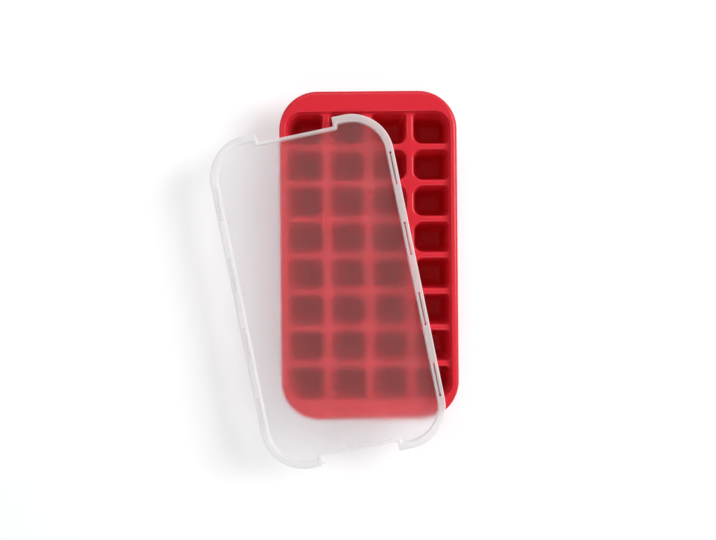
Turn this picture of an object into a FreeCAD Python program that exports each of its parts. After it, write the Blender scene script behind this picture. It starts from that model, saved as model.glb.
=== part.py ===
import FreeCAD, Part
import math
import os

Vector = FreeCAD.Vector

# Freezer tray for small portions, with its loose press-on lid. Millimetres, +Z up.
# X runs across the tray and Y along it. The origin is the middle of the tray, at the level of the pocket floors.

# Tray outline
trayLength = 222.0
trayWidth = 120.0
trayHeight = 38.0
trayCornerRadius = 26.0

# Rim and end flanges
sideRimWidth = 4.0
endFlangeWidth = 14.0
rimInnerRadius = 11.2
rimStep = 3.8
rimBevel = 0.9
sideStepSlope = 1.5
endStepSlope = 0.8
fieldMargin = 0.3
flangeThickness = 3.4
lipReach = 1.6
stepWall = 1.8

# Pockets and the web of dividers that joins them
columns = 4
rows = 8
columnDivider = 5.0
rowDivider = 4.2
webThickness = 1.6
pocketCornerRadius = 6.0
pocketOuterRadius = 2.6
pocketDraft = 4.0
pocketWall = 1.6
pocketFloor = 2.0

# Lid
lidWall = 1.3
lidPanel = 1.2
lidClearance = 1.2
ridgeWidth = 4.8
ridgeRise = 3.0
ridgeBevel = 0.7
notchWidth = 52.0
notchDepth = 6.3
notchRib = 2.0
notchJogRadius = 1.6

# Snap lugs inside the skirt and the mould slots above them
lugsPerSide = 4
lugPitch = 48.0
lugLength = 21.0
lugHeight = 1.0
lugGrip = 0.8
snapClearance = 0.3
slotWidth = 0.8
slotInset = 2.6
slotEndWidth = 1.5

# How the lid lies on the tray: shifted, turned, and leaning on its skirt at one corner
lidShiftX = -28.0
lidShiftY = -24.0
lidTurn = 11.1
restGap = 0.25

# Sizes that follow from the ones above
webTop = trayHeight - rimStep
webBottom = webTop - webThickness
lipBottom = trayHeight - flangeThickness
draftSlope = math.tan(math.radians(pocketDraft))
recessHalfX = trayWidth / 2 - sideRimWidth
recessHalfY = trayLength / 2 - endFlangeWidth
fieldHalfX = recessHalfX - sideStepSlope
fieldHalfY = recessHalfY - endStepSlope
columnPitch = (2 * (fieldHalfX - fieldMargin) + columnDivider) / columns
rowPitch = (2 * (fieldHalfY - fieldMargin) + rowDivider) / rows
pocketHalfX = (columnPitch - columnDivider) / 2
pocketHalfY = (rowPitch - rowDivider) / 2
fieldRadius = rimInnerRadius - (sideStepSlope + endStepSlope) / 2
trayCornerPocketRadius = fieldRadius - fieldMargin

lidHalfX = trayWidth / 2 + lidClearance + lidWall
lidHalfY = trayLength / 2 + lidClearance + lidWall
lidCornerRadius = trayCornerRadius + lidClearance + lidWall
ridgeTop = lidPanel + ridgeRise
skirtDrop = flangeThickness + snapClearance + lugHeight


def roundedWire(halfX, halfY, radii, z):
    """Rectangle about the origin; radii are for the corners (+X+Y), (-X+Y), (-X-Y), (+X-Y)."""
    corners = [(1, 1), (-1, 1), (-1, -1), (1, -1)]
    edges = []
    ends = []
    for (sx, sy), r in zip(corners, radii):
        cx = sx * (halfX - r)
        cy = sy * (halfY - r)
        onSide = Vector(sx * halfX, cy, z)
        onEnd = Vector(cx, sy * halfY, z)
        bulge = r / math.sqrt(2)
        middle = Vector(cx + sx * bulge, cy + sy * bulge, z)
        first, last = (onSide, onEnd) if sx == sy else (onEnd, onSide)
        ends.append((first, middle, last))
    for i, (first, middle, last) in enumerate(ends):
        edges.append(Part.Arc(first, middle, last).toShape())
        edges.append(Part.LineSegment(last, ends[(i + 1) % 4][0]).toShape())
    return Part.Wire(edges)


def steppedPrism(levels):
    """Straight-sided body through rounded rectangles, each given as half sizes, corner radius and height."""
    wires = [roundedWire(halfX, halfY, [radius] * 4, z) for halfX, halfY, radius, z in levels]
    return Part.makeLoft(wires, True, True)


def roundedPrism(halfX, halfY, radius, z0, z1):
    wire = roundedWire(halfX, halfY, [radius] * 4, z0)
    return Part.Face(wire).extrude(Vector(0, 0, z1 - z0))


def block(x0, x1, y0, y1, z0, z1):
    return Part.makeBox(x1 - x0, y1 - y0, z1 - z0, Vector(x0, y0, z0))


def cornerRadii(column, row):
    """Corners where dividers cross are wide, those against the rim are tight, and the tray's own four are widest."""
    radii = []
    for sx, sy in ((1, 1), (-1, 1), (-1, -1), (1, -1)):
        onSide = column == (columns - 1 if sx > 0 else 0)
        onEnd = row == (rows - 1 if sy > 0 else 0)
        if onSide and onEnd:
            radii.append(trayCornerPocketRadius)
        else:
            radii.append(pocketOuterRadius if onSide or onEnd else pocketCornerRadius)
    return radii


def taperedPocket(radii, grow, zTop, zFloor):
    """A drafted block whose upright edges are rounded, sized by the opening at webTop and widened by grow."""
    atTop = grow - (webTop - zTop) * draftSlope
    atFloor = grow - (webTop - zFloor) * draftSlope
    topX, topY = pocketHalfX + atTop, pocketHalfY + atTop
    floorX, floorY = pocketHalfX + atFloor, pocketHalfY + atFloor
    well = Part.makeWedge(-floorX, zFloor, -floorY, -topY, -topX, floorX, zTop, floorY, topY, topX)
    well.rotate(Vector(0, 0, 0), Vector(1, 0, 0), 90)
    for radius in sorted(set(radii)):
        corners = [
            edge
            for edge in well.Edges
            if edge.BoundBox.ZLength > (zTop - zFloor) / 2 and radiusAt(edge, radii) == radius
        ]
        well = well.makeFillet(radius + grow, corners)
    return well


def radiusAt(edge, radii):
    """The radius for the corner that an upright edge stands in."""
    if edge.CenterOfMass.x > 0:
        return radii[0] if edge.CenterOfMass.y > 0 else radii[3]
    return radii[1] if edge.CenterOfMass.y > 0 else radii[2]


def pocketPlaces():
    for row in range(rows):
        for column in range(columns):
            x = (column - (columns - 1) / 2) * columnPitch
            y = (row - (rows - 1) / 2) * rowPitch
            yield Vector(x, y, 0), cornerRadii(column, row)


def makeRim():
    """Band round the outline under a lip, flanges over both ends, and the sunk field that the pockets open into."""
    halfX = trayWidth / 2
    halfY = trayLength / 2
    bevelFoot = trayHeight - rimBevel
    lip = steppedPrism(
        [
            (halfX, halfY, trayCornerRadius, lipBottom),
            (halfX, halfY, trayCornerRadius, bevelFoot),
            (halfX - rimBevel, halfY - rimBevel, trayCornerRadius - rimBevel, trayHeight),
        ]
    )
    bandRadius = trayCornerRadius - lipReach
    band = roundedPrism(halfX - lipReach, halfY - lipReach, bandRadius, webBottom, lipBottom)
    field = steppedPrism(
        [
            (fieldHalfX, fieldHalfY, fieldRadius, webTop),
            (recessHalfX, recessHalfY, rimInnerRadius, bevelFoot),
            (recessHalfX + rimBevel, recessHalfY + rimBevel, rimInnerRadius + rimBevel, trayHeight),
        ]
    )
    relief = roundedPrism(
        halfX - sideRimWidth,
        halfY - sideRimWidth,
        trayCornerRadius - sideRimWidth,
        webBottom,
        lipBottom,
    )
    kept = roundedPrism(
        recessHalfX + stepWall,
        recessHalfY + stepWall,
        rimInnerRadius + stepWall,
        webBottom,
        trayHeight,
    )
    return lip.fuse(band).cut([field, relief.cut(kept)])


def makeTray():
    cups = []
    wells = []
    made = {}
    for place, radii in pocketPlaces():
        kind = tuple(radii)
        if kind not in made:
            cup = taperedPocket(radii, pocketWall, webTop - webThickness / 2, 0)
            made[kind] = cup, taperedPocket(radii, 0, webTop, pocketFloor)
        cup, well = [shape.copy() for shape in made[kind]]
        cup.translate(place)
        well.translate(place)
        cups.append(cup)
        wells.append(well)
    return makeRim().fuse(cups).cut(wells).removeSplitter()


def notchBlocks(widen, depth, z0, z1):
    """The space of the finger notch at both ends."""
    halfX = notchWidth / 2 + widen
    past = lidHalfY + lidWall
    blocks = []
    for side in (-1, 1):
        y0, y1 = sorted((side * (lidHalfY - depth), side * past))
        blocks.append(block(-halfX, halfX, y0, y1, z0, z1))
    return blocks


def lidPrism(inset, z0, z1):
    return roundedPrism(lidHalfX - inset, lidHalfY - inset, lidCornerRadius - inset, z0, z1)


def verticalEdges(shape, xLimit):
    """Upright straight edges nearer the middle line than xLimit."""
    return [
        e
        for e in shape.Edges
        if e.BoundBox.ZLength > 1e-3
        and e.BoundBox.XLength < 1e-6
        and e.BoundBox.YLength < 1e-6
        and abs(e.BoundBox.XMin) < xLimit
    ]


def makeLugs():
    """Wedges on the skirt's inner face: flat on top, where they catch the rim, and sloped below."""
    root = lidHalfX - lidWall
    tip = trayWidth / 2 - lugGrip
    lead = lugHeight / 3
    lugs = []
    for side in (-1, 1):
        for i in range(lugsPerSide):
            y = (i - (lugsPerSide - 1) / 2) * lugPitch - lugLength / 2
            outline = [
                (root + lidWall / 2, -skirtDrop),
                (root, -skirtDrop),
                (tip, -skirtDrop + lead),
                (tip, -skirtDrop + lugHeight),
                (root + lidWall / 2, -skirtDrop + lugHeight),
            ]
            points = [Vector(side * x, y, z) for x, z in outline]
            face = Part.Face(Part.makePolygon(points + points[:1]))
            lugs.append(face.extrude(Vector(0, lugLength, 0)))
    return lugs


def makeSlots():
    """Narrow slots through the ridge, one above each lug, with a wider window at both ends."""
    x = lidHalfX - slotInset
    z0 = ridgeTop - 2 * lidWall
    tall = 4 * lidWall
    cuts = []
    for side in (-1, 1):
        for i in range(lugsPerSide):
            y = (i - (lugsPerSide - 1) / 2) * lugPitch
            y0 = y - lugLength / 2
            y1 = y + lugLength / 2
            slotX = side * x
            cuts.append(block(slotX - slotWidth / 2, slotX + slotWidth / 2, y0, y1, z0, z0 + tall))
            half = slotEndWidth / 2
            for yEnd in (y0, y1):
                cuts.append(block(slotX - half, slotX + half, yEnd - half, yEnd + half, z0, z0 + tall))
    return cuts


def makeLid():
    """The lid about its own middle, with the panel's flat underside at z = 0."""
    lid = lidPrism(0, -skirtDrop, ridgeTop)
    lid = lid.cut(notchBlocks(0, notchDepth, -skirtDrop, ridgeTop))
    rimEdges = [e for e in lid.Edges if abs(e.BoundBox.ZMin - ridgeTop) < 1e-6]
    lid = lid.makeChamfer(ridgeBevel, rimEdges)

    recess = lidPrism(ridgeWidth, lidPanel, ridgeTop)
    recess = recess.cut(notchBlocks(notchRib, notchDepth + notchRib, lidPanel, ridgeTop))
    jogs = verticalEdges(recess, notchWidth / 2 + notchRib + 1e-3)
    recess = recess.makeFillet(notchJogRadius, jogs)

    channel = lidPrism(lidWall, 0, ridgeTop - lidWall).cut(lidPrism(ridgeWidth - lidWall, 0, ridgeTop))
    channel = channel.cut(notchBlocks(lidWall, notchDepth + lidWall, 0, ridgeTop))
    hollow = lidPrism(lidWall, -skirtDrop, 0)

    lid = lid.cut([recess, hollow, channel]).fuse(makeLugs()).cut(makeSlots())
    return lid.removeSplitter()


def placeLid(lid):
    """Lay the lid on the tray: its panel rests on the left rim, its skirt on the flange at the front right."""
    turn = math.radians(lidTurn)
    hingeX = -trayWidth / 2 + rimBevel
    innerSkirt = lidHalfX - lidWall
    crossY = -recessHalfY
    along = crossY - lidShiftY - innerSkirt * math.sin(turn)
    crossX = lidShiftX + innerSkirt * math.cos(turn) - along * math.tan(turn)
    lean = math.degrees(math.asin(skirtDrop / (crossX - hingeX)))

    upright = Vector(0, 0, 1)
    across = Vector(0, 1, 0)
    seat = trayHeight + restGap
    turned = FreeCAD.Placement(Vector(lidShiftX, lidShiftY, seat), FreeCAD.Rotation(upright, lidTurn))
    tilt = FreeCAD.Rotation(across, -lean)
    leaned = FreeCAD.Placement(Vector(0, 0, 0), tilt, Vector(hingeX, 0, seat))
    lid.Placement = leaned.multiply(turned)
    print("lid leans by", round(lean, 2), "degrees over", round(crossX - hingeX, 1), "mm")
    return lid


def export(name, shape):
    """One STEP file for each piece, as a single checked solid."""
    solids = shape.Solids
    if len(solids) != 1 or not solids[0].isValid():
        raise RuntimeError(name + " isn't one valid solid")
    solids[0].exportStep("parts/" + name + ".step")
    box = solids[0].BoundBox
    size = [round(v, 1) for v in (box.XLength, box.YLength, box.ZLength)]
    print(name, size, "mm,", round(solids[0].Volume / 1000, 1), "cm3")


os.makedirs("parts", exist_ok=True)
export("tray", makeTray())
export("lid", placeLid(makeLid()))
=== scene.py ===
import math

import bmesh
import bpy
import numpy as np
from mathutils import Matrix, Vector
from mathutils.geometry import delaunay_2d_cdt


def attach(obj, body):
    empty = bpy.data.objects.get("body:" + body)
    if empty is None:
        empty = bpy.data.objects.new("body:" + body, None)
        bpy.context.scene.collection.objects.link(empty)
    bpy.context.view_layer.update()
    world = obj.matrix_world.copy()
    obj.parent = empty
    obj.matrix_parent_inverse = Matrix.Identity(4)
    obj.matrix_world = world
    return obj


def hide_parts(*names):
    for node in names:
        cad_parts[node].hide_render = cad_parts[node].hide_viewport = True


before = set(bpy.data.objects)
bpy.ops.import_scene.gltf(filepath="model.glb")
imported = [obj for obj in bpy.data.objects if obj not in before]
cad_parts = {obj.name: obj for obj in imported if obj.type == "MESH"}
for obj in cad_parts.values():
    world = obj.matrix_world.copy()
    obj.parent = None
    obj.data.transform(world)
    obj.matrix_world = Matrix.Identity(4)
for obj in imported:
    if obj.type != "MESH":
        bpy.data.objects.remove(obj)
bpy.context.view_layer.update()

mm = 0.001  # every size below is in millimetres
quarterTurn = math.pi / 2
tiny = 1e-6  # millimetres, below which two levels are one
hair = 0.01  # millimetres, for telling levels apart once they are in a mesh
weldReach = 2e-6  # metres
sliverReach = 1e-7  # metres
sharpAngle = math.radians(38)


# Loops and fills in plan, in millimetres

def quarterAngles(steps):
    return [i / steps * quarterTurn for i in range(steps + 1)]


def roundedLoop(centre, sizeAt, arcSteps):
    # sizeAt(signX, signY) gives the half sizes and the radius of that quarter
    # a quarter runs from the middle of a side round its corner to the middle of an end, or back
    points = []
    quarter = arcSteps + 2
    for i in range(4 * quarter):
        corner, step = divmod(i, quarter)
        if corner % 2:
            step = quarter - step
        signX = 1 if corner in (0, 3) else -1
        signY = 1 if corner < 2 else -1
        halfX, halfY, radius = sizeAt(signX, signY)
        angle = min(max(step - 1, 0) / arcSteps, 1) * quarterTurn
        x = (halfX - radius) * (1 - max(step - 1 - arcSteps, 0)) + radius * math.cos(angle)
        y = (halfY - radius) * min(step, 1) + radius * math.sin(angle)
        points.append((centre[0] + signX * x, centre[1] + signY * y))
    return points


def plainLoop(halfX, halfY, radius, arcSteps=16):
    return roundedLoop((0, 0), lambda signX, signY: (halfX, halfY, radius), arcSteps)


def atHeight(loop, z):
    return [(x, y, z) for x, y in loop]


def addLoft(mesh, rings):
    rows = [[mesh.verts.new(point) for point in ring] for ring in rings]
    for low, high in zip(rows, rows[1:]):
        for i in range(len(low)):
            j = (i + 1) % len(low)
            mesh.faces.new((low[i], low[j], high[j], high[i]))


def insideLoop(loop, points):
    # a point is inside when a line from it crosses the loop an odd number of times
    inside = np.zeros(len(points), bool)
    corners = np.array(loop)
    x, y = points[:, 0], points[:, 1]
    for (ax, ay), (bx, by) in zip(corners, np.roll(corners, -1, 0)):
        crosses = (ay > y) != (by > y)
        if crosses.any():
            inside ^= crosses & (x < (bx - ax) * (y - ay) / (by - ay if by != ay else 1) + ax)
    return inside


def addPlan(mesh, loops, outside):
    # loops are (points, level, open), and outside is the level beyond them all
    # a later loop overrules those it lies in, and an open one gets walls only
    corners, edges = [], []
    for loop in loops:
        first, count = len(corners), len(loop[0])
        corners += [Vector(point) for point in loop[0]]
        edges += [(first + i, first + (i + 1) % count) for i in range(count)]
    plan = delaunay_2d_cdt(corners, edges, [], 0, tiny)
    spots, faces = np.array([tuple(spot) for spot in plan[0]]), plan[2]
    middles = np.array([spots[list(face)].mean(0) for face in faces])
    level = np.full(len(faces), float(outside))
    isOpen = np.ones(len(faces), bool)
    for points, loopLevel, loopOpen in loops:
        inside = insideLoop(points, middles)
        level[inside] = loopLevel
        isOpen[inside] = loopOpen

    # the faces beside each edge, and the levels that meet at each corner
    beside, levelsAt = {}, {}
    for i, face in enumerate(faces):
        for a, b in zip(face, face[1:] + face[:1]):
            beside.setdefault((min(a, b), max(a, b)), []).append(i)
            levelsAt.setdefault(a, set()).add(level[i])
    made = {}

    def corner(index, z):
        key = (index, round(z, 6))
        if key not in made:
            made[key] = mesh.verts.new((*spots[index], z))
        return made[key]

    for i, face in enumerate(faces):
        if not isOpen[i]:
            mesh.faces.new([corner(index, level[i]) for index in face])
    for (a, b), sides in beside.items():
        low, high = sorted((level[sides[0]], level[sides[1]] if len(sides) > 1 else outside))
        if high - low < tiny:
            continue
        # a wall has a corner at each level that its ends share with the walls beside it
        risen = [z for z in sorted(levelsAt[a] | {low, high}) if low <= z <= high]
        fallen = [z for z in sorted(levelsAt[b] | {low, high}) if low <= z <= high][::-1]
        mesh.faces.new([corner(a, z) for z in risen] + [corner(b, z) for z in fallen])


def holdMesh(name, mesh):
    # a helper object in metres, for a node tree to work on
    mesh.transform(Matrix.Scale(mm, 4))
    bmesh.ops.remove_doubles(mesh, verts=mesh.verts, dist=weldReach)
    data = bpy.data.meshes.new(name)
    mesh.to_mesh(data)
    mesh.free()
    helper = bpy.data.objects.new(name, data)
    bpy.context.scene.collection.objects.link(helper)
    return helper


def takeMesh(helper):
    # the evaluated result as a bmesh; the helper object and its modifiers go
    bpy.context.view_layer.update()
    evaluated = helper.evaluated_get(bpy.context.evaluated_depsgraph_get())
    data = bpy.data.meshes.new_from_object(evaluated)
    result = bmesh.new()
    result.from_mesh(data)
    bpy.data.meshes.remove(data)
    helper.modifiers.clear()
    bpy.data.objects.remove(helper)
    return result


def finishMesh(name, mesh, material, place=Matrix.Identity(4)):
    # welds, turns the faces outwards, marks the sharp edges, and makes one object at the origin
    bmesh.ops.remove_doubles(mesh, verts=mesh.verts, dist=weldReach)
    bmesh.ops.dissolve_degenerate(mesh, edges=mesh.edges, dist=sliverReach)
    bmesh.ops.triangulate(mesh, faces=[face for face in mesh.faces if len(face.verts) > 4])
    bmesh.ops.recalc_face_normals(mesh, faces=mesh.faces)
    mesh.transform(place)
    for edge in mesh.edges:
        edge.smooth = len(edge.link_faces) == 2 and edge.calc_face_angle(0) < sharpAngle
    for face in mesh.faces:
        face.smooth = True
    openEdges = sum(len(edge.link_faces) != 2 for edge in mesh.edges)
    data = bpy.data.meshes.new(name)
    mesh.to_mesh(data)
    mesh.free()
    data.materials.clear()
    data.materials.append(material)
    piece = bpy.data.objects.new(name, data)
    bpy.context.scene.collection.objects.link(piece)
    triangles = sum(len(face.vertices) - 2 for face in data.polygons)
    print(name, "has", triangles, "triangles and", openEdges, "open edges")
    return piece


# Node trees

class Wire:
    # one socket of a node tree, so that its maths is written as Python
    def __init__(self, tree, socket=None):
        self.tree, self.socket = tree, socket

    def node(self, kind, settings, sockets, output=0):
        made = self.tree.nodes.new(kind)
        for name, value in settings.items():
            setattr(made, name, value)
        for name, value in sockets.items():
            if isinstance(value, Wire):
                self.tree.links.new(value.socket, made.inputs[name])
            else:
                made.inputs[name].default_value = value
        return Wire(self.tree, made.outputs[output] if len(made.outputs) else None)

    def maths(self, operation, *values, clamp=False):
        settings = {"operation": operation, "use_clamp": clamp}
        return self.node("ShaderNodeMath", settings, dict(enumerate(values)))

    def __add__(self, other):
        return self.maths("ADD", self, other)

    def __radd__(self, other):
        return self.maths("ADD", other, self)

    def __sub__(self, other):
        return self.maths("SUBTRACT", self, other)

    def __rsub__(self, other):
        return self.maths("SUBTRACT", other, self)

    def __mul__(self, other):
        return self.maths("MULTIPLY", self, other)

    def __rmul__(self, other):
        return self.maths("MULTIPLY", other, self)

    def __truediv__(self, other):
        return self.maths("DIVIDE", self, other)

    def __gt__(self, other):
        return self.maths("GREATER_THAN", self, other)

    def __lt__(self, other):
        return self.maths("LESS_THAN", self, other)

    def __mod__(self, other):
        return self.maths("MODULO", self, other)

    def floor(self):
        return self.maths("FLOOR", self)

    def sine(self):
        return self.maths("SINE", self)

    def cosine(self):
        return self.maths("COSINE", self)

    def tangent(self):
        return self.maths("TANGENT", self)

    def clamped(self):
        return self.maths("ADD", self, 0.0, clamp=True)

    def along(self, axis):
        return self.node("ShaderNodeSeparateXYZ", {}, {"Vector": self}, axis)


def newGeometryTree(name, counts, sizes):
    # counts and sizes are names of whole and of real inputs; a geometry and a material come with them
    tree = bpy.data.node_groups.new(name, "GeometryNodeTree")
    tree.interface.new_socket(name="Geometry", in_out="INPUT", socket_type="NodeSocketGeometry")
    tree.interface.new_socket(name="Geometry", in_out="OUTPUT", socket_type="NodeSocketGeometry")
    for label in counts:
        tree.interface.new_socket(name=label, in_out="INPUT", socket_type="NodeSocketInt")
    for label in sizes:
        tree.interface.new_socket(name=label, in_out="INPUT", socket_type="NodeSocketFloat")
    tree.interface.new_socket(name="Material", in_out="INPUT", socket_type="NodeSocketMaterial")
    source = tree.nodes.new("NodeGroupInput")
    return tree, {socket.name: Wire(tree, socket) for socket in source.outputs if socket.name}


def closeGeometryTree(tree, parts, material):
    # Join Geometry takes all its parts in one socket, so they are linked one by one
    joined = tree.nodes.new("GeometryNodeJoinGeometry")
    for part in parts:
        tree.links.new(part.socket, joined.inputs[0])
    sockets = {"Geometry": Wire(tree, joined.outputs[0]), "Material": material}
    finished = Wire(tree).node("GeometryNodeSetMaterial", {}, sockets)
    tree.links.new(finished.socket, tree.nodes.new("NodeGroupOutput").inputs[0])
    return tree


def addTree(helper, tree, values):
    modifier = helper.modifiers.new(tree.name, "NODES")
    modifier.node_group = tree
    for item in tree.interface.items_tree:
        if item.in_out == "INPUT" and item.name in values:
            modifier[item.identifier] = values[item.name]


# Materials

def newMaterial(name):
    material = bpy.data.materials.new(name)
    material.use_nodes = True
    material.node_tree.nodes.clear()
    return material, Wire(material.node_tree)


def closeMaterial(material, start, surface):
    start.node("ShaderNodeOutputMaterial", {}, {"Surface": surface})
    return material


def cloudAndGrain(start, look):
    # slow clouds over the piece, and a fine grain as a bump
    place = start.node("ShaderNodeTexCoord", {}, {}, "Object")
    cloud, grain = [
        start.node(
            "ShaderNodeTexNoise",
            {"noise_dimensions": "3D"},
            {"Vector": place, "Scale": look[kind + "Scale"], "Detail": look[kind + "Detail"]},
        )
        for kind in ("cloud", "grain")
    ]
    sockets = {"Height": grain, "Distance": look["grainDepth"], "Strength": look["grainStrength"]}
    return cloud, start.node("ShaderNodeBump", {}, sockets)


siliconeLook = {
    "red": (0.76, 0.024, 0.040, 1),
    "worn": (0.79, 0.030, 0.049, 1),
    "ior": 1.36,
    "roughLow": 0.20,
    "roughHigh": 0.28,
    "cloudScale": 60.0,
    "cloudDetail": 3.0,
    "grainScale": 2600.0,
    "grainDetail": 1.0,
    "grainDepth": 0.00002,  # metres
    "grainStrength": 0.5,
}


def makeSilicone(look):
    material, start = newMaterial("redSilicone")
    cloud, bump = cloudAndGrain(start, look)
    sockets = {"Factor": cloud, "A": look["red"], "B": look["worn"]}
    colour = start.node("ShaderNodeMix", {"data_type": "RGBA"}, sockets, "Result")
    rough = look["roughLow"] + cloud * (look["roughHigh"] - look["roughLow"])
    sockets = {"Base Color": colour, "Roughness": rough, "Normal": bump, "IOR": look["ior"]}
    return closeMaterial(material, start, start.node("ShaderNodeBsdfPrincipled", {}, sockets))


frostedLook = {
    "tint": (0.935, 0.935, 0.945, 1),
    "rough": 0.78,
    "roughSpread": 0.06,
    "cloudScale": 45.0,
    "cloudDetail": 2.0,
    "grainScale": 1800.0,
    "grainDetail": 1.0,
    "grainDepth": 0.00002,  # metres
    "grainStrength": 0.4,
    "ior": 1.36,
    # white of the hazy layer: real frosting, and where the attribute is high, painted brightening and painted
    # highlights
    "hazeAndPaintedLightColour": (0.99, 0.985, 0.985, 1),
    "hazeRough": 0.8,
    "hazeThrough": 0.2,
    "hazeAndPaintedLightAttribute": "hazeAndPaintedLight",
}


def makeFrosted(look):
    # clear frosted plastic that turns hazy and white as far as the piece's own attribute says; the attribute
    # carries real frosting, and also painted brightening and painted highlights on the lid's ridge
    material, start = newMaterial("frostedPlastic")
    cloud, bump = cloudAndGrain(start, look)
    clear = start.node(
        "ShaderNodeBsdfPrincipled",
        {},
        {
            "Base Color": look["tint"],
            "Roughness": look["rough"] + (cloud - 0.5) * look["roughSpread"],
            "Transmission Weight": 1.0,
            "IOR": look["ior"],
            "Normal": bump,
        },
    )
    hazyAndPaintedLight = start.node(
        "ShaderNodeBsdfPrincipled",
        {},
        {
            "Base Color": look["hazeAndPaintedLightColour"],
            "Roughness": look["hazeRough"],
            "Transmission Weight": look["hazeThrough"],
            "IOR": look["ior"],
            "Normal": bump,
        },
    )
    # share of the white layer: frosting on the panel, painted brightening and painted highlights on the ridge
    hazeAndPaintedLight = start.node("ShaderNodeAttribute", {"attribute_name": look["hazeAndPaintedLightAttribute"]}, {}, "Fac")
    mixed = start.node("ShaderNodeMixShader", {}, {0: hazeAndPaintedLight, 1: clear, 2: hazyAndPaintedLight})
    return closeMaterial(material, start, mixed)


redSilicone = makeSilicone(siliconeLook)
frostedPlastic = makeFrosted(frostedLook)
print("materials made")


# The tray: rim, web and flanges as rings and fills, and 32 pockets from one node tree

tray = {
    "halfX": 60.0, "halfY": 111.0, "height": 38.0, "radius": 26.0,
    "webTop": 34.2, "webBottom": 32.6,
    "fieldX": 54.5, "fieldY": 96.2, "fieldRadius": 10.05,
    "recessX": 55.3, "recessY": 96.9, "recessRadius": 10.8,
    "innerRound": 0.8, "roundWide": 2.8, "roundDeep": 2.4,
    "holdX": 0.2, "holdY": 0.3,  # flat strips beside the rounded edges
    "lipBottom": 34.6, "lipReach": 1.6, "lipFoot": 0.3, "footRound": 0.8,
    "sideRim": 4.0, "stepWall": 1.8,
    "columns": 4, "rows": 8, "columnDivider": 5.0, "rowDivider": 4.2, "fieldMargin": 0.3,
    "crossingRadius": 6.0, "tightRadius": 2.6, "cornerRadius": 9.75, "floorRadius": 2.8, "footRadius": 3.8,
    "lipOut": 1.5, "lipOutSide": 0.2, "lipDrop": 1.5,
    "draft": 4.0, "floor": 2.0, "wall": 1.6, "floorRound": 5.0, "footCurve": 5.0,
    "arcSteps": 10, "lipSteps": 5, "wallSteps": 2, "roundSteps": 8,
    "innerSteps": 5, "outerSteps": 8, "lipFootSteps": 3, "footSteps": 4,
}
tray["pitchX"] = (2 * (tray["fieldX"] - tray["fieldMargin"]) + tray["columnDivider"]) / tray["columns"]
tray["pitchY"] = (2 * (tray["fieldY"] - tray["fieldMargin"]) + tray["rowDivider"]) / tray["rows"]
tray["pocketX"] = (tray["pitchX"] - tray["columnDivider"]) / 2
tray["pocketY"] = (tray["pitchY"] - tray["rowDivider"]) / 2


def pocketLoop(size, column, row, grow, lipShare):
    # the same corner rule as the node tree, for the loops that the web is welded to
    centre = (
        (column - (size["columns"] - 1) / 2) * size["pitchX"],
        (row - (size["rows"] - 1) / 2) * size["pitchY"],
    )

    def sizeAt(signX, signY):
        onSide = column == (size["columns"] - 1 if signX > 0 else 0)
        onEnd = row == (size["rows"] - 1 if signY > 0 else 0)
        outX = lipShare * (size["lipOutSide"] if onSide else size["lipOut"])
        outY = lipShare * (size["lipOutSide"] if onEnd else size["lipOut"])
        kind = ("crossingRadius", "tightRadius", "cornerRadius")[onSide + onEnd]
        radius = size[kind] + max(grow, 0) + (outX + outY) / 2
        return size["pocketX"] + grow + outX, size["pocketY"] + grow + outY, radius

    return roundedLoop(centre, sizeAt, size["arcSteps"])


def pocketLoops(size, level, grow, lipShare):
    # all of them, as open loops for addPlan
    return [
        (pocketLoop(size, column, row, grow, lipShare), level, True)
        for row in range(size["rows"])
        for column in range(size["columns"])
    ]


def cupGrowth(size):
    # how much wider a cup is outside than its pocket, where it leaves the web
    fall = (size["webTop"] - size["webBottom"]) * math.tan(math.radians(size["draft"]))
    return size["wall"] - fall


def curveBetween(a, b, c, steps):
    # a soft corner from a to c whose sides point at b
    result = []
    for i in range(steps + 1):
        t = i / steps
        result.append(tuple(p * (1 - t) ** 2 + 2 * q * t * (1 - t) + r * t * t for p, q, r in zip(a, b, c)))
    return result


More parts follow.
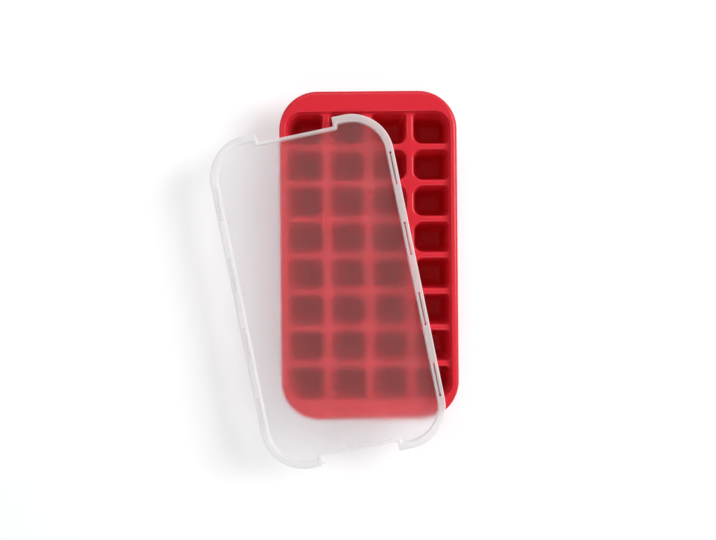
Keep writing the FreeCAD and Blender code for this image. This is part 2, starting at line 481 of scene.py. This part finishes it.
def makeTrayBody(size):
    mesh = bmesh.new()
    x, y, r = size["halfX"], size["halfY"], size["radius"]
    top, web, under = size["height"], size["webTop"], size["webBottom"]

    # up the sloped step from the sunk field, and over its rounded edge onto the rim
    inner = size["innerRound"]
    field = (size["fieldX"], size["fieldY"], size["fieldRadius"], web)
    recess = (size["recessX"], size["recessY"], size["recessRadius"], top - inner)
    more = inner / (recess[3] - web)
    meet = tuple(b + (b - a) * more for a, b in zip(field, recess))
    landed = (meet[0] + inner, meet[1] + inner, meet[2] + inner, top)
    rings = [field] + curveBetween(recess, meet, landed, size["innerSteps"])
    rings.append((landed[0] + size["holdX"], landed[1] + size["holdY"], landed[2] + size["holdY"], top))

    # down the lip, in below it and down to the underside, as steps in from the outline and heights
    wide, deep = size["roundWide"], size["roundDeep"]
    lipFoot, lipBottom = size["lipFoot"], size["lipBottom"]
    foot, reach = size["footRound"], size["lipReach"]
    profile = [(wide + size["holdX"], top)]
    for angle in quarterAngles(size["outerSteps"]):
        profile.append((wide * (1 - math.sin(angle)), top - deep * (1 - math.cos(angle))))
    for angle in quarterAngles(size["lipFootSteps"]):
        profile.append((lipFoot * (1 - math.cos(angle)), lipBottom + lipFoot * (1 - math.sin(angle))))
    profile.append((reach, lipBottom))
    for angle in quarterAngles(size["footSteps"]):
        profile.append((reach + foot * (1 - math.cos(angle)), under + foot * (1 - math.sin(angle))))
    rings += [(x - out, y - out, r - out, z) for out, z in profile]
    loops = [atHeight(plainLoop(a, b, c), z) for a, b, c, z in rings]
    addLoft(mesh, loops)

    addPlan(mesh, [(plainLoop(*field[:3]), web, False)] + pocketLoops(size, web, 0, 1), web)

    # the underside: the end flanges are hollow between the band and the wall under the step
    edge = [point[:2] for point in loops[-1]]
    relief = plainLoop(x - size["sideRim"], y - size["sideRim"], r - size["sideRim"])
    kept = plainLoop(*[value + size["stepWall"] for value in recess[:3]])
    hollows = [(edge, under, False), (relief, lipBottom, False), (kept, under, False)]
    addPlan(mesh, hollows + pocketLoops(size, under, cupGrowth(size), 0), under)
    return mesh


def makePocketTree():
    tree, given = newGeometryTree(
        "pocketShells",
        ("Columns", "Rows", "Arc steps", "Lip steps", "Wall steps", "Round steps"),
        (
            "Pitch X", "Pitch Y", "Half X", "Half Y", "Crossing radius", "Tight radius", "Corner radius",
            "Floor radius", "Lip out", "Lip out at side", "Lip drop", "Top", "Floor", "Draft", "Floor round",
        ),
    )
    start = Wire(tree)
    arcSteps, lipSteps = given["Arc steps"], given["Lip steps"]
    wallSteps, roundSteps = given["Wall steps"], given["Round steps"]
    quarter = arcSteps + 2
    around = quarter * 4
    levels = lipSteps + wallSteps + roundSteps + 1

    # a template whose points carry only their step round the loop and their level down the wall
    sheet = start.node(
        "GeometryNodeMeshGrid",
        {},
        {"Size X": around, "Size Y": levels, "Vertices X": around + 1, "Vertices Y": levels + 1},
    )
    place = start.node("GeometryNodeInputPosition", {}, {})
    marks = {"loopStep": place.along("X") + around / 2, "wallLevel": place.along("Y") + levels / 2}
    marked = sheet
    for name, value in marks.items():
        marked = start.node(
            "GeometryNodeStoreNamedAttribute",
            {"data_type": "FLOAT", "domain": "POINT"},
            {"Geometry": marked, "Name": name, "Value": value},
        )
    middle = start.node("ShaderNodeCombineXYZ", {}, {"X": 0.0, "Y": 0.0, "Z": 0.0})
    template = start.node("GeometryNodeSetPosition", {}, {"Geometry": marked, "Position": middle})

    places = start.node(
        "GeometryNodeMeshGrid",
        {},
        {
            "Size X": given["Pitch X"] * (given["Columns"] - 1),
            "Size Y": given["Pitch Y"] * (given["Rows"] - 1),
            "Vertices X": given["Columns"],
            "Vertices Y": given["Rows"],
        },
    )
    copies = start.node("GeometryNodeInstanceOnPoints", {}, {"Points": places, "Instance": template})
    pockets = start.node("GeometryNodeRealizeInstances", {}, {"Geometry": copies})

    # each mark is made a whole number again, and guard keeps one that is a hair low from falling
    guard = 0.25
    real = {"data_type": "FLOAT"}
    step, level = [
        (start.node("GeometryNodeInputNamedAttribute", real, {"Name": name}) + guard).floor()
        for name in marks
    ]
    centreX, centreY = place.along("X"), place.along("Y")

    # which quarter of the loop, and how far along it
    corner = ((step + 0.5) / quarter).floor()
    along = step - corner * quarter
    corner = corner - 4 * (corner > 3.5)
    odd = (corner + guard) % 2 > 1
    along = along + odd * (quarter - 2 * along)
    signX = 1 - 2 * ((corner > 0.5) * (corner < 2.5))
    signY = 1 - 2 * (corner > 1.5)
    turned = ((along - 1) / arcSteps).clamped() * quarterTurn
    beforeArc = along.clamped()
    afterArc = (along - 1 - arcSteps).clamped()

    # how far down the lip, the wall, the floor's round and the floor
    lip = (level / lipSteps).clamped() * quarterTurn
    down = ((level - lipSteps) / wallSteps).clamped()
    curled = ((level - lipSteps - wallSteps) / roundSteps).clamped()
    closed = (level - lipSteps - wallSteps - roundSteps).clamped()
    draft = given["Draft"]
    tilt = (draft - quarterTurn) * (1 - curled)
    drop = given["Lip drop"] * (1 - lip.cosine())
    straight = given["Top"] - given["Lip drop"] - given["Floor"] - given["Floor round"] * (1 - draft.sine())
    drop = drop + down * straight
    height = given["Top"] - drop - given["Floor round"] * (tilt.cosine() - draft.sine())
    inset = drop * draft.tangent() + given["Floor round"] * (tilt.sine() + draft.cosine())

    # outer pockets keep their tight corners and narrow lips against the rim
    onSide = signX * centreX / given["Pitch X"] > given["Columns"] / 2 - 1
    onEnd = signY * centreY / given["Pitch Y"] > given["Rows"] / 2 - 1
    lipWide = given["Lip out"]
    lipLess = lipWide - given["Lip out at side"]
    outX = (lipWide - onSide * lipLess) * (1 - lip.sine())
    outY = (lipWide - onEnd * lipLess) * (1 - lip.sine())
    both = onSide * onEnd
    either = onSide + onEnd - 2 * both
    radius = (
        given["Crossing radius"] * (1 - both - either)
        + given["Tight radius"] * either
        + given["Corner radius"] * both
    )
    radius = radius + (outX + outY) / 2
    deep = down * 0.5 + curled * 0.5
    radius = radius + (given["Floor radius"] - radius) * deep
    halfX = given["Half X"] + outX - inset
    halfY = given["Half Y"] + outY - inset
    x = ((halfX - radius) * (1 - afterArc) + radius * turned.cosine()) * (1 - closed)
    y = ((halfY - radius) * beforeArc + radius * turned.sine()) * (1 - closed)
    sockets = {"X": centreX + signX * x, "Y": centreY + signY * y, "Z": height}
    spot = start.node("ShaderNodeCombineXYZ", {}, sockets)
    shaped = start.node("GeometryNodeSetPosition", {}, {"Geometry": pockets, "Position": spot})
    return closeGeometryTree(tree, (shaped, given["Geometry"]), given["Material"])


def makeSiliconeTray(size, material):
    helper = holdMesh("trayBody", makeTrayBody(size))
    tree = makePocketTree()
    shared = {
        "Columns": size["columns"], "Rows": size["rows"], "Arc steps": size["arcSteps"],
        "Lip steps": size["lipSteps"], "Wall steps": size["wallSteps"], "Round steps": size["roundSteps"],
        "Pitch X": size["pitchX"] * mm, "Pitch Y": size["pitchY"] * mm,
        "Draft": math.radians(size["draft"]), "Material": material,
    }
    addTree(helper, tree, {
        **shared,
        "Half X": size["pocketX"] * mm, "Half Y": size["pocketY"] * mm,
        "Crossing radius": size["crossingRadius"] * mm, "Tight radius": size["tightRadius"] * mm,
        "Corner radius": size["cornerRadius"] * mm, "Floor radius": size["floorRadius"] * mm,
        "Lip out": size["lipOut"] * mm, "Lip out at side": size["lipOutSide"] * mm,
        "Lip drop": size["lipDrop"] * mm, "Top": size["webTop"] * mm, "Floor": size["floor"] * mm,
        "Floor round": size["floorRound"] * mm,
    })
    grow = cupGrowth(size)
    addTree(helper, tree, {
        **shared,
        "Half X": (size["pocketX"] + grow) * mm, "Half Y": (size["pocketY"] + grow) * mm,
        "Crossing radius": (size["crossingRadius"] + grow) * mm,
        "Tight radius": (size["tightRadius"] + grow) * mm,
        "Corner radius": (size["cornerRadius"] + grow) * mm, "Floor radius": size["footRadius"] * mm,
        "Lip out": 0.0, "Lip out at side": 0.0, "Lip drop": 0.0,
        "Top": size["webBottom"] * mm, "Floor": 0.0, "Floor round": size["footCurve"] * mm,
    })
    piece = finishMesh("siliconeTray", takeMesh(helper), material)
    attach(piece, "tray")
    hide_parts("tray")


makeSiliconeTray(tray, redSilicone)
print("tray made")


# The lid: one shell with a hollow ridge, a finger notch at both ends, slots and snap lugs

lid = {
    "halfX": 62.5, "halfY": 113.5, "radius": 28.5,
    "wall": 1.3, "panel": 1.2, "ridgeTop": 4.2, "skirtDrop": 4.7,
    "ridgeWidth": 4.8, "edgeRound": 0.75, "footRound": 0.6, "splitLevel": 0.8,
    "arcSteps": 14, "jogSteps": 5, "edgeSteps": 5, "footSteps": 4, "slotEndSteps": 12,
    # the ridge and edge shares of white haze paint the ridge brighter and its walls and rounded edges as
    # highlights, over real frosting; the panel's share is frosting alone
    "ridgeHazeAndPaintedLight": 0.66, "edgeHazeAndPaintedHighlight": 0.97, "panelHaze": 0.035,
    "notchHalf": 26.0, "notchDepth": 6.3, "notchRib": 2.0, "notchRound": 0.5, "jogRound": 1.6,
    "slotInset": 2.6, "slotWidth": 0.8, "slotEnd": 1.5,
    "lugsPerSide": 4, "lugPitch": 48.0, "lugLength": 21.0,
    "lugHeight": 1.0, "lugLead": 0.333, "lugTip": 59.2, "lugSunk": 0.4, "lugRaise": 0.05,
    "shiftX": -28.0, "shiftY": -24.0, "turn": 11.1, "hingeX": -59.1, "seat": 38.25, "crossY": -97.0,
}


def notchedLoop(size, inset):
    # the lid's outline stepped in by inset, and by less at the notch, where the rib is narrower
    share = min(inset, size["ridgeWidth"]) / size["ridgeWidth"]
    rib = size["notchRib"] * share + max(inset - size["ridgeWidth"], 0)
    halfX, halfY = size["halfX"] - inset, size["halfY"] - inset
    radius = size["radius"] - inset
    notchX = size["notchHalf"] + rib
    notchY = size["halfY"] - size["notchDepth"] - rib
    jog = size["notchRound"] + (size["jogRound"] - size["notchRound"]) * share
    quarter = [(halfX, 0.0)]
    for angle in quarterAngles(size["arcSteps"]):
        quarter.append((halfX - radius + radius * math.cos(angle), halfY - radius + radius * math.sin(angle)))
    for angle in quarterAngles(size["jogSteps"]):
        quarter.append((notchX + jog - jog * math.sin(angle), halfY - jog + jog * math.cos(angle)))
    for inside in (size["wall"], size["ridgeWidth"] - size["wall"]):
        # a point where each wall of the channel meets the notch
        along = (inside - size["notchRound"]) / (size["notchDepth"] - 2 * size["notchRound"])
        quarter.append((notchX, (halfY - jog) * (1 - along) + (notchY + jog) * along))
    for angle in quarterAngles(size["jogSteps"]):
        quarter.append((notchX - jog + jog * math.cos(angle), notchY + jog - jog * math.sin(angle)))
    quarter.append((0.0, notchY))
    upper = quarter + [(-x, y) for x, y in quarter[-2::-1]]
    return upper + [(x, -y) for x, y in upper[-2:0:-1]]


def slotLoops(size):
    # a narrow slot with a round hole at both ends, above each lug
    half, hole, reach = size["slotWidth"] / 2, size["slotEnd"] / 2, size["lugLength"] / 2
    gap = math.asin(half / hole)
    outline = []
    for side in (1, -1):
        for i in range(size["slotEndSteps"] + 1):
            angle = quarterTurn * (side - 2) + gap + i / size["slotEndSteps"] * (2 * math.pi - 2 * gap)
            outline.append((hole * math.cos(angle), side * reach + hole * math.sin(angle)))
    x = size["halfX"] - size["slotInset"]
    result = []
    for side in (-1, 1):
        for i in range(size["lugsPerSide"]):
            y = (i - (size["lugsPerSide"] - 1) / 2) * size["lugPitch"]
            result.append([(side * x + px, y + py) for px, py in outline])
    return result


def makeLidBody(size, hazeAndPaintedLightAttribute):
    mesh = bmesh.new()
    top, panel, width, wall = size["ridgeTop"], size["panel"], size["ridgeWidth"], size["wall"]
    curl, foot, split = size["edgeRound"], size["footRound"], size["splitLevel"]

    # the ridge outside and inside, as steps in from the outline and heights
    outer, inner = [(0.0, split)], []
    for angle in quarterAngles(size["edgeSteps"]):
        outer.append((curl * (1 - math.cos(angle)), top - curl + curl * math.sin(angle)))
        inner.append((width - curl + curl * math.sin(angle), top - curl + curl * math.cos(angle)))
    for angle in quarterAngles(size["footSteps"]):
        inner.append((width + foot * (1 - math.cos(angle)), panel + foot * (1 - math.sin(angle))))
    for profile in (outer, inner):
        addLoft(mesh, [atHeight(notchedLoop(size, inset), z) for inset, z in profile])

    slots = [(loop, top, True) for loop in slotLoops(size)]
    ridge = [(notchedLoop(size, outer[-1][0]), top, False), (notchedLoop(size, inner[0][0]), top, True)]
    addPlan(mesh, ridge + slots, top)
    addPlan(mesh, [(notchedLoop(size, inner[-1][0]), panel, False)], panel)

    # below: the skirt, the channel in the ridge, the panel, and the blocks that end the channel at a notch
    outline = notchedLoop(size, 0.0)
    ceiling = top - wall
    loops = [(outline, -size["skirtDrop"], False)]
    for inset, level in ((wall, ceiling), (width - wall, 0.0)):
        inside = plainLoop(size["halfX"] - inset, size["halfY"] - inset, size["radius"] - inset)
        loops.append((inside, level, False))
    stop = size["notchHalf"] + wall
    near, far = size["halfY"] - size["notchDepth"] - wall, size["halfY"] - wall
    for side in (-1, 1):
        block = [(-stop, side * near), (stop, side * near), (stop, side * far), (-stop, side * far)]
        loops.append((block, 0.0, False))
    reach = size["notchHalf"] + size["notchRound"] + hair
    for side in (-1, 1):
        notch = [(px, py) for px, py in outline if abs(px) < reach and side * py > 0]
        loops.append((notch, split, True))
    addPlan(mesh, loops + slots, split)

    # white haze per corner: real frosting, with painted brightening on the ridge and painted highlights on
    # its walls and rounded edges
    hazeAndPaintedLight = mesh.verts.layers.float.new(hazeAndPaintedLightAttribute)
    for corner in mesh.verts:
        z = corner.co.z
        if z < panel - hair or abs(z - ceiling) < hair:
            corner[hazeAndPaintedLight] = 0.0  # the underside and the hollow of the ridge are clear
        elif z < panel + hair:
            corner[hazeAndPaintedLight] = size["panelHaze"]
        # the ridge's walls and rounded edges: painted highlight over the frosting
        elif panel + foot < z < top - hair:
            corner[hazeAndPaintedLight] = size["edgeHazeAndPaintedHighlight"]
        # the ridge top and the foot of its inner wall: painted brightening over the frosting
        else:
            corner[hazeAndPaintedLight] = size["ridgeHazeAndPaintedLight"]
    return mesh


def makeLugTree():
    tree, given = newGeometryTree(
        "snapLugs", ("Per side",), ("Pitch", "Length", "Height", "Lead", "Depth", "Reach", "Level")
    )
    start = Wire(tree)
    sockets = {"X": given["Depth"], "Y": given["Length"], "Z": given["Height"]}
    size = start.node("ShaderNodeCombineXYZ", {}, sockets)
    block = start.node("GeometryNodeMeshCube", {}, {"Size": size})
    place = start.node("GeometryNodeInputPosition", {}, {})

    # the lower edge of the tip is raised, which slopes the lug's underside
    lead = (place.along("X") < 0) * (place.along("Z") < 0) * given["Lead"]
    offset = start.node("ShaderNodeCombineXYZ", {}, {"Z": lead})
    wedge = start.node("GeometryNodeSetPosition", {}, {"Geometry": block, "Offset": offset})
    rows = start.node(
        "GeometryNodeMeshGrid",
        {},
        {
            "Size X": given["Reach"] * 2,
            "Size Y": given["Pitch"] * (given["Per side"] - 1),
            "Vertices X": 2,
            "Vertices Y": given["Per side"],
        },
    )
    lift = start.node("ShaderNodeCombineXYZ", {}, {"Z": given["Level"]})
    rows = start.node("GeometryNodeSetPosition", {}, {"Geometry": rows, "Offset": lift})
    turn = start.node("ShaderNodeCombineXYZ", {}, {"Z": (place.along("X") < 0) * math.pi})
    sockets = {"Points": rows, "Instance": wedge, "Rotation": turn}
    copies = start.node("GeometryNodeInstanceOnPoints", {}, sockets)
    lugs = start.node("GeometryNodeRealizeInstances", {}, {"Geometry": copies})
    return closeGeometryTree(tree, (lugs, given["Geometry"]), given["Material"])


def lidPlace(size):
    # shifted and turned, then leaned about the rim that the panel rests on until the skirt meets the flange
    turn = math.radians(size["turn"])
    inside = size["halfX"] - size["wall"]
    along = size["crossY"] - size["shiftY"] - inside * math.sin(turn)
    crossX = size["shiftX"] + inside * math.cos(turn) - along * math.tan(turn)
    lean = math.asin(size["skirtDrop"] / (crossX - size["hingeX"]))
    hinge = Vector((size["hingeX"], 0, size["seat"])) * mm
    shift = Vector((size["shiftX"], size["shiftY"], size["seat"])) * mm
    tilt = Matrix.Translation(hinge) @ Matrix.Rotation(-lean, 4, "Y") @ Matrix.Translation(-hinge)
    return tilt @ Matrix.Translation(shift) @ Matrix.Rotation(turn, 4, "Z")


def makeFrostedLid(size, material, hazeAndPaintedLightAttribute):
    helper = holdMesh("lidBody", makeLidBody(size, hazeAndPaintedLightAttribute))
    root = size["halfX"] - size["wall"] + size["lugSunk"]  # sunk a little into the skirt
    addTree(helper, makeLugTree(), {
        "Per side": size["lugsPerSide"], "Pitch": size["lugPitch"] * mm, "Length": size["lugLength"] * mm,
        "Height": size["lugHeight"] * mm, "Lead": size["lugLead"] * mm,
        "Depth": (root - size["lugTip"]) * mm, "Reach": (root + size["lugTip"]) / 2 * mm,
        "Level": (size["lugHeight"] / 2 - size["skirtDrop"] + size["lugRaise"]) * mm,
        "Material": material,
    })
    piece = finishMesh("frostedLid", takeMesh(helper), material, lidPlace(size))
    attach(piece, "lid")
    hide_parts("lid")


makeFrostedLid(lid, frostedPlastic, frostedLook["hazeAndPaintedLightAttribute"])
print("lid made")


# Floor, world, lamps and camera

studio = {
    "floorColour": (0.925, 0.94, 0.95, 1),
    "floorLift": 0.25,
    "floorReach": 6.0,  # metres, as every length here is
    "floorDrop": 0.0001,
    "worldLevel": 0.12,
    "lampReach": 1.6,
    "lampSize": 0.8,
    # each lamp's turn and height in degrees, and its watts
    "lamps": [(16, 45, 17.0), (-85, 50, 4.5), (172, 42, 4.5), (95, 50, 4.0)],
    "cameraHeight": 0.738,
    "cameraX": -0.0075,
    "cameraY": -0.0098,
    "roll": -0.5,  # degrees
    "viewWidth": 0.4822,  # at the height of the rim
    "sensorWidth": 36.0,  # millimetres, as a camera's is
    "nearest": 0.01,
    "farthest": 20.0,
}


def makeFloor(look):
    material, start = newMaterial("paleFloor")
    seen = [
        start.node("ShaderNodeLightPath", {}, {}, name)
        for name in ("Is Camera Ray", "Is Glossy Ray", "Is Transmission Ray")
    ]
    lift = (seen[0] + seen[1] + seen[2]).clamped() * look["floorLift"]
    plain = start.node("ShaderNodeBsdfDiffuse", {}, {"Color": look["floorColour"]})
    glow = start.node("ShaderNodeEmission", {}, {"Strength": lift})
    both = start.node("ShaderNodeAddShader", {}, {0: plain, 1: glow})
    closeMaterial(material, start, both)
    data = bpy.data.meshes.new("floor")
    reach = look["floorReach"]
    square = ((-reach, -reach), (reach, -reach), (reach, reach), (-reach, reach))
    data.from_pydata(atHeight(square, -look["floorDrop"]), [], [(0, 1, 2, 3)])
    data.materials.append(material)
    floor = bpy.data.objects.new("floor", data)
    bpy.context.scene.collection.objects.link(floor)


def makeLights(look):
    world = bpy.data.worlds.new("studio")
    world.use_nodes = True
    world.node_tree.nodes["Background"].inputs["Color"].default_value = (1, 1, 1, 1)
    world.node_tree.nodes["Background"].inputs["Strength"].default_value = look["worldLevel"]
    bpy.context.scene.world = world
    for turn, height, power in look["lamps"]:
        lamp = bpy.data.lights.new("softLamp", "AREA")
        lamp.shape = "SQUARE"
        lamp.size = look["lampSize"]
        lamp.energy = power
        holder = bpy.data.objects.new("softLamp", lamp)
        turn, height = math.radians(turn), math.radians(height)
        level = math.cos(height)
        aim = Vector((level * math.cos(turn), level * math.sin(turn), math.sin(height)))
        holder.location = aim * look["lampReach"]
        holder.rotation_euler = (-aim).to_track_quat("-Z", "Y").to_euler()
        bpy.context.scene.collection.objects.link(holder)


def makeCamera(look):
    data = bpy.data.cameras.new("camera")
    reach = look["cameraHeight"] - tray["height"] * mm
    data.sensor_width = look["sensorWidth"]
    data.lens = look["sensorWidth"] * reach / look["viewWidth"]
    data.clip_start, data.clip_end = look["nearest"], look["farthest"]
    camera = bpy.data.objects.new("camera", data)
    camera.location = (look["cameraX"], look["cameraY"], look["cameraHeight"])
    camera.rotation_euler = (0, 0, math.radians(look["roll"]))
    bpy.context.scene.collection.objects.link(camera)
    bpy.context.scene.camera = camera


makeFloor(studio)
makeLights(studio)
makeCamera(studio)
bpy.context.scene.view_settings.view_transform = "Standard"
print("stage made")

bpy.context.view_layer.update()
